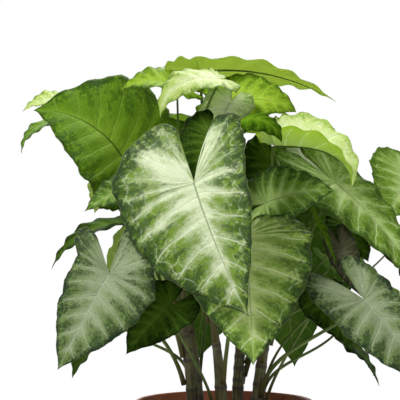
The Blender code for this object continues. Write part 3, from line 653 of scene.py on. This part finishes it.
class Sheet:
    """A node tree to write on: short calls that add a node and link its inputs."""

    def __init__(self, tree):
        self.tree = tree

    def feed(self, socket, value):
        """Link a wire to a socket, or set the socket's own value."""
        if isinstance(value, Wire):
            self.tree.links.new(value.socket, socket)
        else:
            socket.default_value = value

    def add(self, kind, inputs=(), **settings):
        """A node, with its settings and with its inputs fed by name or number."""
        node = self.tree.nodes.new(kind)
        for key, value in settings.items():
            setattr(node, key, value)
        for key, value in dict(inputs).items():
            self.feed(node.inputs[key], value)
        return node

    def wires(self, node):
        """The node's outputs by name."""
        return {output.name: Wire(self, output) for output in node.outputs}

    def wire(self, kind, inputs=(), output=0, **settings):
        """Add a node and give the wire from one of its outputs."""
        return Wire(self, self.add(kind, inputs, **settings).outputs[output])

    def math(self, operation, *parts):
        return self.wire("ShaderNodeMath", enumerate(parts), operation=operation)

    def mix(self, share, a, b, blend="MIX"):
        return self.wire("ShaderNodeMix", {0: share, 6: a, 7: b}, 2, data_type="RGBA", blend_type=blend)

    def layers(self, colour, *coats):
        """A colour with others laid over it in turn, each by its own share."""
        for share, coat in coats:
            colour = self.mix(share, colour, coat)
        return colour

    def noise(self, vector, scale, detail=3.0, rough=0.55):
        return self.wire("ShaderNodeTexNoise", {"Vector": vector, "Scale": scale, "Detail": detail,
                "Roughness": rough}, "Fac")

    def streaks(self, x, y, z, detail=3.0, rough=0.55):
        """Noise drawn out by the three numbers that it runs on."""
        return self.noise(self.vector(x, y, z), 1.0, detail, rough)

    def cracks(self, vector, scale):
        """Distance to the nearest border between small cells."""
        return self.wire("ShaderNodeTexVoronoi", {"Vector": vector, "Scale": scale}, "Distance",
                feature="DISTANCE_TO_EDGE")

    def vector(self, x, y, z):
        return self.wire("ShaderNodeCombineXYZ", enumerate((x, y, z)))

    def split(self, vector):
        return self.wires(self.add("ShaderNodeSeparateXYZ", {0: vector})).values()

    def attribute(self, name):
        return self.wire("ShaderNodeAttribute", (), "Vector", attribute_name=name)

    def where(self):
        """The place on the object, in metres."""
        return self.wire("ShaderNodeTexCoord", (), "Object")

    def use(self, group, **inputs):
        """A node group placed here: its outputs by name."""
        return self.wires(self.add("ShaderNodeGroup", spaced(inputs), node_tree=group))

    def bump(self, height, strength, distance):
        return self.wire("ShaderNodeBump", {"Height": height, "Strength": strength, "Distance": distance})

    def principled(self, colour, rough, **more):
        inputs = {"Base Color": colour, "Roughness": rough, **spaced(more)}
        return self.wire("ShaderNodeBsdfPrincipled", inputs)

    def show(self, surface):
        self.add("ShaderNodeOutputMaterial", {"Surface": surface})


def new_group(name, **inputs):
    """A node group whose inputs are vectors where no number is given: its sheet and its inputs by name."""
    tree = bpy.data.node_groups.new(name, "ShaderNodeTree")
    for label, value in spaced(inputs).items():
        kind = "NodeSocketVector" if value is None else "NodeSocketFloat"
        socket = tree.interface.new_socket(label, in_out="INPUT", socket_type=kind)
        if value is not None:
            socket.default_value = value
    sheet = Sheet(tree)
    return sheet, sheet.wires(sheet.add("NodeGroupInput"))


def close_group(sheet, **outputs):
    """Give the group its named outputs."""
    for label in spaced(outputs):
        sheet.tree.interface.new_socket(label, in_out="OUTPUT", socket_type="NodeSocketFloat")
    sheet.add("NodeGroupOutput", spaced(outputs))
    return sheet.tree


def blank(thing):
    """The emptied sheet of a material or a world."""
    thing.use_nodes = True
    thing.node_tree.nodes.clear()
    return Sheet(thing.node_tree)


def new_material(name):
    return blank(bpy.data.materials.new(name))


def rgb(red, green, blue):
    """A colour written as it looks on a screen, 0 to 255."""
    channels = (red / 255, green / 255, blue / 255)
    return tuple(c / 12.92 if c <= 0.04045 else ((c + 0.055) / 1.055) ** 2.4 for c in channels) + (1.0,)


# --- the finish of the leaves ---

BLACK, WHITE = (0.0, 0.0, 0.0, 1.0), (1.0, 1.0, 1.0, 1.0)
RIM_COLOUR = rgb(120, 124, 84)
LOBE_VEIN = (0.66, 0.75)  # the way the main vein of a lobe runs: out and back

SHADES = "pale middle dark vein midrib edge glow under".split()
SHARES = "pale_reach dark_reach feather vein_share through sheen".split()


def tint(*row):
    """
    A tint of leaf. First come its colours in the order of SHADES, glow being the light that comes
    through and under the under side. Then come its shares in the order of SHARES: how far out the
    pale centre ends and the dark mottles begin, how far the veins draw the pale out, how strong they
    show, how much light the blade lets through, and how glossy it is.
    """
    colours = {shade: rgb(*colour) for shade, colour in zip(SHADES, row)}
    return SimpleNamespace(**colours, **dict(zip(SHARES, row[len(SHADES):])))


TINTS = {
    "pale": tint((212, 222, 186), (110, 138, 52), (52, 78, 30), (220, 229, 198), (150, 164, 128),
        (34, 52, 32), (140, 168, 54), (136, 162, 76), 0.38, 0.5, 0.5, 0.66, 0.14, 0.08),
    "soft": tint((196, 214, 138), (120, 152, 60), (66, 96, 34), (216, 228, 176), (150, 166, 120),
        (32, 52, 28), (128, 160, 44), (116, 146, 62), 0.44, 0.54, 0.46, 0.8, 0.14, 0.06),
    "lime": tint((208, 218, 166), (166, 188, 94), (112, 142, 44), (210, 218, 160), (140, 160, 84),
        (88, 118, 40), (150, 182, 34), (132, 168, 30), 0.66, 0.8, 0.15, 0.35, 0.24, 0.06),
    "cream": tint((240, 246, 206), (204, 222, 142), (172, 198, 98), (240, 246, 206), (160, 180, 100),
        (148, 178, 74), (166, 204, 16), (108, 144, 4), 0.66, 0.84, 0.12, 0.35, 0.3, 0.06),
    "lush": tint((98, 134, 28), (66, 102, 14), (36, 60, 8), (112, 146, 44), (100, 128, 24), (32, 48, 14),
        (96, 132, 12), (70, 104, 20), 0.34, 0.5, 0.4, 0.45, 0.14, 0.0),
    # a pale variegated leaf made near white, with a near white glow, as painted light for leaves that lie
    # in the shade of the top leaves
    "snow_painted_light": tint((244, 250, 224), (204, 228, 140), (120, 164, 62), (246, 250, 230), (170, 186, 140),
        (80, 110, 50), (242, 248, 206), (214, 228, 178), 0.56, 0.62, 0.25, 0.66, 0.7, 0.06),
    # a brighter, yellower copy of bright: painted light for the leaves at the top of the plant
    "sunlit": tint((172, 200, 72), (136, 170, 40), (88, 122, 24), (180, 206, 92), (108, 136, 44),
        (60, 92, 22), (150, 176, 44), (146, 172, 66), 0.4, 0.52, 0.25, 0.4, 0.24, 0.05),
    "spring": tint((184, 206, 134), (104, 138, 44), (60, 92, 24), (202, 220, 160), (150, 172, 112),
        (48, 76, 30), (150, 184, 60), (126, 158, 64), 0.4, 0.6, 0.28, 0.65, 0.26, 0.02),
    "brown": tint((104, 102, 80), (80, 80, 56), (46, 48, 32), (122, 120, 98), (132, 130, 108), (30, 36, 26),
        (86, 90, 40), (84, 82, 60), 0.4, 0.5, 0.25, 0.45, 0.06, 0.03),
    "mid": tint((166, 190, 114), (102, 136, 48), (44, 70, 24), (178, 198, 132), (116, 136, 88),
        (28, 46, 26), (112, 148, 34), (88, 120, 48), 0.32, 0.44, 0.32, 0.75, 0.14, 0.05),
    "bright": tint((114, 146, 42), (84, 118, 24), (48, 78, 14), (128, 160, 60), (52, 78, 20), (36, 60, 18),
        (112, 146, 20), (98, 130, 32), 0.32, 0.6, 0.25, 0.45, 0.2, 0.03),
    "deep": tint((84, 112, 36), (58, 84, 20), (28, 46, 10), (100, 128, 54), (82, 106, 44), (16, 28, 10),
        (74, 112, 10), (48, 72, 26), 0.26, 0.42, 0.3, 0.42, 0.08, 0.012),
    "grey": tint((140, 152, 118), (98, 118, 66), (48, 68, 34), (158, 170, 138), (160, 170, 146),
        (32, 46, 32), (96, 124, 52), (88, 106, 62), 0.56, 0.52, 0.4, 0.6, 0.08, 0.05),
}

# the two sides of a blade; rough goes from the hollows to the tops of the skin's grain
SIDES = {
    "upper": SimpleNamespace(
        vein_height=-0.5, relief=0.0008, rough=(0.5, 0.36), glow_share=0.3, gloss=1.0),
    "under": SimpleNamespace(
        vein_height=0.8, relief=0.0006, rough=(0.66, 0.54), glow_share=0.45, gloss=0.2),
}


def vein_group():
    """Midrib, side veins and the vein that runs inside the margin, from a blade's vein places."""
    sheet, given = new_group("leaf_veins", Leaf_Place=None, Leaf_Flat=None, Side_Veins=float(LATERALS))
    flat = given["Leaf Flat"]
    u, v, side = sheet.split(given["Leaf Place"])
    x, y, seed = sheet.split(flat)
    wander = sheet.noise(flat, 3.5, 2.0) - 0.5
    phase = (u + wander * 0.034 + side * 0.006) * given["Side Veins"]
    number = sheet.math("FLOOR", phase + 0.5)
    gap = abs(phase - number)
    lot = sheet.wire("ShaderNodeTexWhiteNoise", {"Vector": sheet.vector(number, side, seed)}, "Value")
    lesser = sheet.math("GREATER_THAN", sheet.math("FRACT", phase * 0.5), 0.5)
    lobe = y.fading(-0.16, 0.02)
    strength = (1.0 - lesser * 0.45) * (1.0 - lobe * 0.75)
    width = sheet.math("DIVIDE", 0.013, v + 0.08) + 0.034
    strength = strength * v.fading(0.8, 0.95)
    off = abs(abs(x) * LOBE_VEIN[1] + y * LOBE_VEIN[0] + wander * 0.05)
    away = lobe * v.fading(0.7, 0.92)
    band = gap.fading(0.02, 0.42) * (lot * 0.75 + 0.4) * (1.0 - lobe * 0.65)
    loop = sheet.math("COSINE", phase * (2 * math.pi)) * 0.04 + 0.82
    broken = sheet.noise(flat, 9.0, 2.0).eased(0.42, 0.58)
    return close_group(
        sheet, Midrib=v.fading(0.006, 0.022), Midrib_Band=v.fading(0.02, 0.24),
        Side_Vein=(gap.fading(width * 0.3, width) * strength).at_least(off.fading(0.004, 0.015) * away),
        Side_Line=gap.fading(width * 0.12, width * 0.34) * strength,
        Side_Band=band.at_least(off.fading(0.01, 0.13) * away),
        Margin_Vein=abs(v - loop).fading(0.004, 0.02) * broken, Between=gap * 2.0, Out=v)


def mottle_group():
    """Where the blade is pale, where dark, its ragged margin, and the pale net that runs between."""
    sheet, given = new_group("leaf_mottle", Leaf_Place=None, Leaf_Flat=None, Side_Band=0.0, Between=0.0,
            Pale_Reach=0.4, Dark_Reach=0.5, Feather=0.5)
    flat = given["Leaf Flat"]
    u, v, side = sheet.split(given["Leaf Place"])
    x, y, seed = sheet.split(flat)
    streak = sheet.streaks(u * 46.0, v * 3.4, seed + side * 4.0, 5.0, 0.66) - 0.5
    thread = sheet.streaks(u * 150.0, v * 6.0, seed, 3.0, 0.6) - 0.5
    blotch = sheet.noise(flat, 7.5, 5.0, 0.64) - 0.5
    speck = (sheet.noise(flat, 30.0, 4.0, 0.68) - 0.5) * v.eased(0.25, 0.75, 0.2, 1.0)
    lobe = (y * -1.0).at_least(0.0)
    feather = given["Side Band"] * given["Feather"]
    pale = given["Pale Reach"] - v + streak * 1.5 + blotch * 1.3 + thread * 0.85
    pale = pale + lobe * 0.55 + feather - y.at_least(0.0) * 0.5
    dark = v - given["Dark Reach"] + streak * 1.9 + blotch * 1.5 + speck * 0.9 + thread * 0.9
    dark = dark - lobe * 0.45 + given["Between"] * 0.22 - feather * 0.72
    ragged = v + (streak + speck) * 0.4 + blotch * 0.42
    cells = sheet.cracks(sheet.vector(x + speck * 0.1, y + blotch * 0.12, seed), 13.0)
    return close_group(sheet, Pale=pale.eased(-0.42, 0.62), Dark=dark.eased(-0.06, 0.5),
            Edge=ragged.eased(0.8, 1.04), Net=cells.fading(0.01, 0.09) * v.eased(0.4, 0.66))


def skin_group():
    """Fine relief of a leaf: small cells between the veins, and the sunken or raised veins."""
    sheet, given = new_group("leaf_skin", Leaf_Flat=None, Side_Vein=0.0, Midrib=0.0, Between=0.0,
            Vein_Height=-1.0)
    cell = sheet.cracks(given["Leaf Flat"], 34.0).eased(0.0, 0.22)
    grain = sheet.noise(given["Leaf Flat"], 120.0, 3.0)
    veins = given["Side Vein"].at_least(given["Midrib"]) * given["Vein Height"]
    return close_group(sheet, Height=cell * 0.22 + grain * 0.1 + given["Between"] * 0.35 + veins,
            Grain=(cell + grain) * 0.5)


def blade_colour(sheet, veins, mottle, look):
    """Pale centre, green body, dark mottles, veins and the ragged dark margin."""
    return sheet.layers(
        look.middle, (mottle["Pale"], look.pale), (mottle["Net"] * 0.38, look.pale),
        (mottle["Dark"] * 0.86, look.dark), (veins["Midrib Band"] * 0.5, look.pale),
        (veins["Side Vein"] * look.vein_share, look.vein),
        (veins["Side Line"] * 0.45, look.midrib),
        (veins["Margin Vein"] * (look.vein_share * 0.4), look.vein),
        (mottle["Edge"] * 0.94, look.edge),
        (veins["Out"].eased(0.985, 0.997) * 0.6, RIM_COLOUR), (veins["Midrib"], look.midrib))


def blade_material(side, tint_name, groups):
    """One side of a blade: satin, and it lets light through; its inner face only passes light on."""
    sheet, finish, look = new_material(f"{side}_{tint_name}"), SIDES[side], TINTS[tint_name]
    place, flat = sheet.attribute("leaf_place"), sheet.attribute("leaf_flat")
    veins = sheet.use(groups["veins"], Leaf_Place=place, Leaf_Flat=flat)
    skin = sheet.use(groups["skin"], Leaf_Flat=flat, Side_Vein=veins["Side Vein"], Midrib=veins["Midrib"],
            Between=veins["Between"], Vein_Height=finish.vein_height)
    mottle = sheet.use(groups["mottle"], Leaf_Place=place, Leaf_Flat=flat, Between=veins["Between"],
            Side_Band=veins["Side Band"], Pale_Reach=look.pale_reach,
            Dark_Reach=look.dark_reach, Feather=look.feather)
    colour = blade_colour(sheet, veins, mottle, look)
    if side == "upper":
        # the skin's grain laid over the colour by soft light: painted shade in its hollows, painted light
        # on its tops
        colour = sheet.mix(0.18, colour, sheet.mix(skin["Grain"], BLACK, WHITE), "SOFT_LIGHT")
    else:
        colour = sheet.layers(colour, (0.8, look.under), (veins["Side Vein"] * 0.35, look.vein))
    normal = sheet.bump(skin["Height"], 0.85, finish.relief)
    satin = sheet.principled(colour, skin["Grain"].eased(0.2, 0.8, *finish.rough), Normal=normal,
            IOR=1.42, Specular_IOR_Level=look.sheen * finish.gloss)
    inner = sheet.wire("ShaderNodeNewGeometry", (), "Backfacing")
    passed = sheet.mix(inner, sheet.mix(finish.glow_share, colour, look.glow), WHITE)
    lit = sheet.wire("ShaderNodeBsdfTranslucent", {"Color": passed, "Normal": normal})
    share = inner.at_least(look.through)
    sheet.show(sheet.wire("ShaderNodeMixShader", {0: share, 1: satin, 2: lit}))


def stalk_material():
    """Leaf stalks: green, streaked along, browner where they clasp the shoot."""
    sheet = new_material("stalk")
    run, turn, _ = sheet.split(sheet.attribute("leaf_place"))
    _, _, seed = sheet.split(sheet.attribute("leaf_flat"))
    streak = sheet.streaks(run * 3.0, turn * 26.0, seed)
    pale = sheet.streaks(run * 9.0, turn, seed, 2.0)
    colour = sheet.layers(rgb(52, 70, 26), (streak, rgb(98, 118, 54)),
            (pale.eased(0.45, 0.75, 0.0, 0.4), rgb(128, 142, 84)),
            (run.fading(0.03, 0.3) * 0.75, rgb(84, 66, 40)))
    sheet.show(sheet.principled(colour, streak.eased(0.2, 0.8, 0.56, 0.4),
            Normal=sheet.bump(streak, 0.6, 0.0004), Specular_IOR_Level=0.12))


# --- the other finishes ---

def shoot_material():
    """Shoots: dark green-brown with dry sheaths, scars at the joints and small corky dots."""
    sheet = new_material("shoot")
    run, turn, _ = sheet.split(sheet.attribute("stem_place"))
    joint, _, _ = sheet.split(sheet.attribute("stem_joint"))
    streak = sheet.streaks(run * 6.0, turn * 18.0, 2.0, 4.0, 0.6)
    patch = sheet.streaks(run * 14.0, turn * 3.0, 7.0)
    dots = sheet.wire("ShaderNodeTexVoronoi", {"Vector": sheet.vector(run * 60.0, turn * 14.0, 0.0),
            "Scale": 1.0}, "Distance")
    colour = sheet.layers(rgb(58, 52, 30), (streak.eased(0.3, 0.7), rgb(104, 104, 56)),
            (patch.eased(0.48, 0.62, 0.0, 0.8), rgb(62, 42, 30)),
            (run.eased(0.55, 1.0, 0.0, 0.7), rgb(96, 122, 52)),
            (joint.eased(0.35, 0.9, 0.0, 0.8), rgb(48, 34, 24)),
            (dots.eased(0.1, 0.22, 0.5, 0.0), rgb(140, 122, 92)))
    height = streak + dots.fading(0.1, 0.25) * 0.5
    sheet.show(sheet.principled(colour, streak.eased(0.2, 0.8, 0.74, 0.52),
            Normal=sheet.bump(height, 0.8, 0.0006)))


def crumb_group():
    """Crumbs of mix or bark, paler specks in them, damp patches and the relief of them all."""
    sheet, given = new_group("mix_crumbs", Place=None)
    grain = sheet.noise(given["Place"], 900.0, 5.0, 0.7)
    crumbs = sheet.noise(given["Place"], 220.0, 4.0, 0.6)
    return close_group(sheet, Crumbs=crumbs.eased(0.35, 0.7), Specks=grain.eased(0.6, 0.75, 0.0, 0.5),
            Damp=sheet.noise(given["Place"], 28.0, 2.0), Height=crumbs + grain * 0.5)


def soil_material(name, group, low, high):
    """Damp and crumbly, between two colours."""
    sheet = new_material(name)
    mix = sheet.use(group, Place=sheet.where())
    colour = sheet.layers(low, (mix["Crumbs"], high), (mix["Specks"], rgb(120, 98, 76)),
            (mix["Damp"].eased(0.45, 0.65, 0.0, 0.45), rgb(18, 13, 10)))
    sheet.show(sheet.principled(colour, mix["Damp"].eased(0.4, 0.7, 0.95, 0.72),
            Normal=sheet.bump(mix["Height"], 1.0, 0.0012)))


def pot_material():
    """Terracotta-coloured moulded plastic, with a fine matt grain, faint scuffs and water marks."""
    sheet = new_material("pot_plastic")
    x, y, z = sheet.split(sheet.where())
    grain = sheet.noise(sheet.where(), 1400.0, 2.0)
    cloud = sheet.noise(sheet.where(), 22.0, 4.0)
    around = sheet.math("ARCTAN2", y, x) * 3.0
    across, along = (sheet.math(way, around) * 7.0 for way in ("SINE", "COSINE"))
    drips = sheet.streaks(across, along, z * 9.0, 4.0)
    scuffs = sheet.streaks(around * 2.0, z * 420.0, 1.0, 5.0, 0.7)
    colour = sheet.layers(rgb(164, 92, 62), (cloud.eased(0.3, 0.7), rgb(182, 108, 76)),
            (drips.eased(0.58, 0.74, 0.0, 0.28), rgb(202, 150, 122)),
            # darker towards the bottom, over the lowest 20 mm
            (z.eased(0.0, 0.02, 0.35, 0.0), rgb(120, 72, 50)),
            (scuffs.eased(0.66, 0.74, 0.0, 0.35), rgb(206, 160, 134)))
    sheet.show(sheet.principled(colour, cloud.eased(0.3, 0.7, 0.52, 0.64),
            Normal=sheet.bump(grain, 0.35, 0.0002)))


def build_materials():
    """Both sides of each tint of leaf, the stalks, the shoots, the mix with its bark chips, and the pot."""
    groups = {"veins": vein_group(), "mottle": mottle_group(), "skin": skin_group()}
    for tint_name in TINTS:
        for side in SIDES:
            blade_material(side, tint_name, groups)
    stalk_material()
    shoot_material()
    crumbs = crumb_group()
    soil_material("potting_mix", crumbs, rgb(30, 22, 16), rgb(74, 56, 42))
    soil_material("bark_chip", crumbs, rgb(78, 56, 38), rgb(136, 104, 74))
    pot_material()


# --- the studio, in metres ---

CAMERA_PLACE = (-0.0204, -1.4, 0.30245)
CAMERA_LENS = 148.2  # a 36 mm sensor then takes in 340 mm at the pot's distance
FLOOR_RADIUS = 0.95
FLOOR_SIDES = 128
FLOOR_DROP = 0.0005  # keeps the floor off the pot's underside
WORLD_LIGHT = 0.08  # how strongly the surround lights the plant
# lamps: place, height of the point it is turned to, side length, power
LAMPS = {
    "key": ((-0.75, -0.8, 1.3), 0.28, 0.45, 24.5),
    "front": ((0.2, -1.7, 0.55), 0.3, 0.9, 3.0),
    "back": ((0.25, 0.75, 1.35), 0.33, 0.8, 26.0),
    "side": ((1.3, -0.9, 0.6), 0.28, 0.8, 4.0),
    "behind": ((-0.35, 1.5, 0.8), 0.3, 1.0, 8.0),
}


def build_lamp(name, place, aim, size, power):
    """A square soft lamp at a place, turned to a height on the plant's axis."""
    lamp = bpy.data.lights.new(name, "AREA")
    lamp.shape, lamp.size, lamp.energy = "SQUARE", size, power
    thing = new_object(name, lamp)
    thing.location = place
    thing.rotation_euler = (Vector((0, 0, aim)) - Vector(place)).to_track_quat("-Z", "Y").to_euler()
    thing.visible_camera = False


def build_floor():
    """A plain pale floor that keeps the pot's shadow."""
    sheet = new_material("floor_pale")
    spots = sheet.noise(sheet.where(), 6.0, 3.0)
    colour = sheet.mix(spots, (0.86, 0.86, 0.86, 1.0), (0.9, 0.9, 0.9, 1.0))
    sheet.show(sheet.principled(colour, 0.8))
    points = np.vstack([circle(FLOOR_RADIUS / MM, 0, FLOOR_SIDES), [[0, 0, 0]]])
    faces = [(k, (k + 1) % FLOOR_SIDES, FLOOR_SIDES) for k in range(FLOOR_SIDES)]
    floor = mesh_object("floor", points, faces, None, ("floor_pale",))
    floor.location.z = -FLOOR_DROP


def build_world():
    """An even white surround: full white where it is seen, softer as a source of light."""
    world = bpy.data.worlds.new("studio")
    bpy.context.scene.world = world
    sheet = blank(world)
    path = sheet.wires(sheet.add("ShaderNodeLightPath"))
    seen = path["Is Camera Ray"].at_least(path["Is Glossy Ray"].at_least(path["Is Transmission Ray"]))
    strength = seen * (1.0 - WORLD_LIGHT) + WORLD_LIGHT
    surround = sheet.wire("ShaderNodeBackground", {"Color": WHITE, "Strength": strength})
    sheet.add("ShaderNodeOutputWorld", {"Surface": surround})


def build_studio():
    """Camera, lamps, floor and surround."""
    camera = bpy.data.cameras.new("camera")
    camera.lens, camera.sensor_width = CAMERA_LENS, 36.0
    camera.clip_start, camera.clip_end = 0.05, 50.0
    thing = new_object("camera", camera)
    thing.location, thing.rotation_euler = CAMERA_PLACE, (math.radians(90), 0, 0)
    bpy.context.scene.camera = thing
    for name, lamp in LAMPS.items():
        build_lamp(name, *lamp)
    build_floor()
    build_world()


def build_plant():
    """Every piece of the plant, its soil and its pot."""
    for number, (name, shape) in enumerate(LEAVES.items()):
        build_leaf(number, name, shape)
    for name in STEMS:
        build_stem(name)
    build_soil()
    build_pot()


build_materials()
build_plant()
build_studio()
bpy.context.scene.view_settings.view_transform = "Standard"
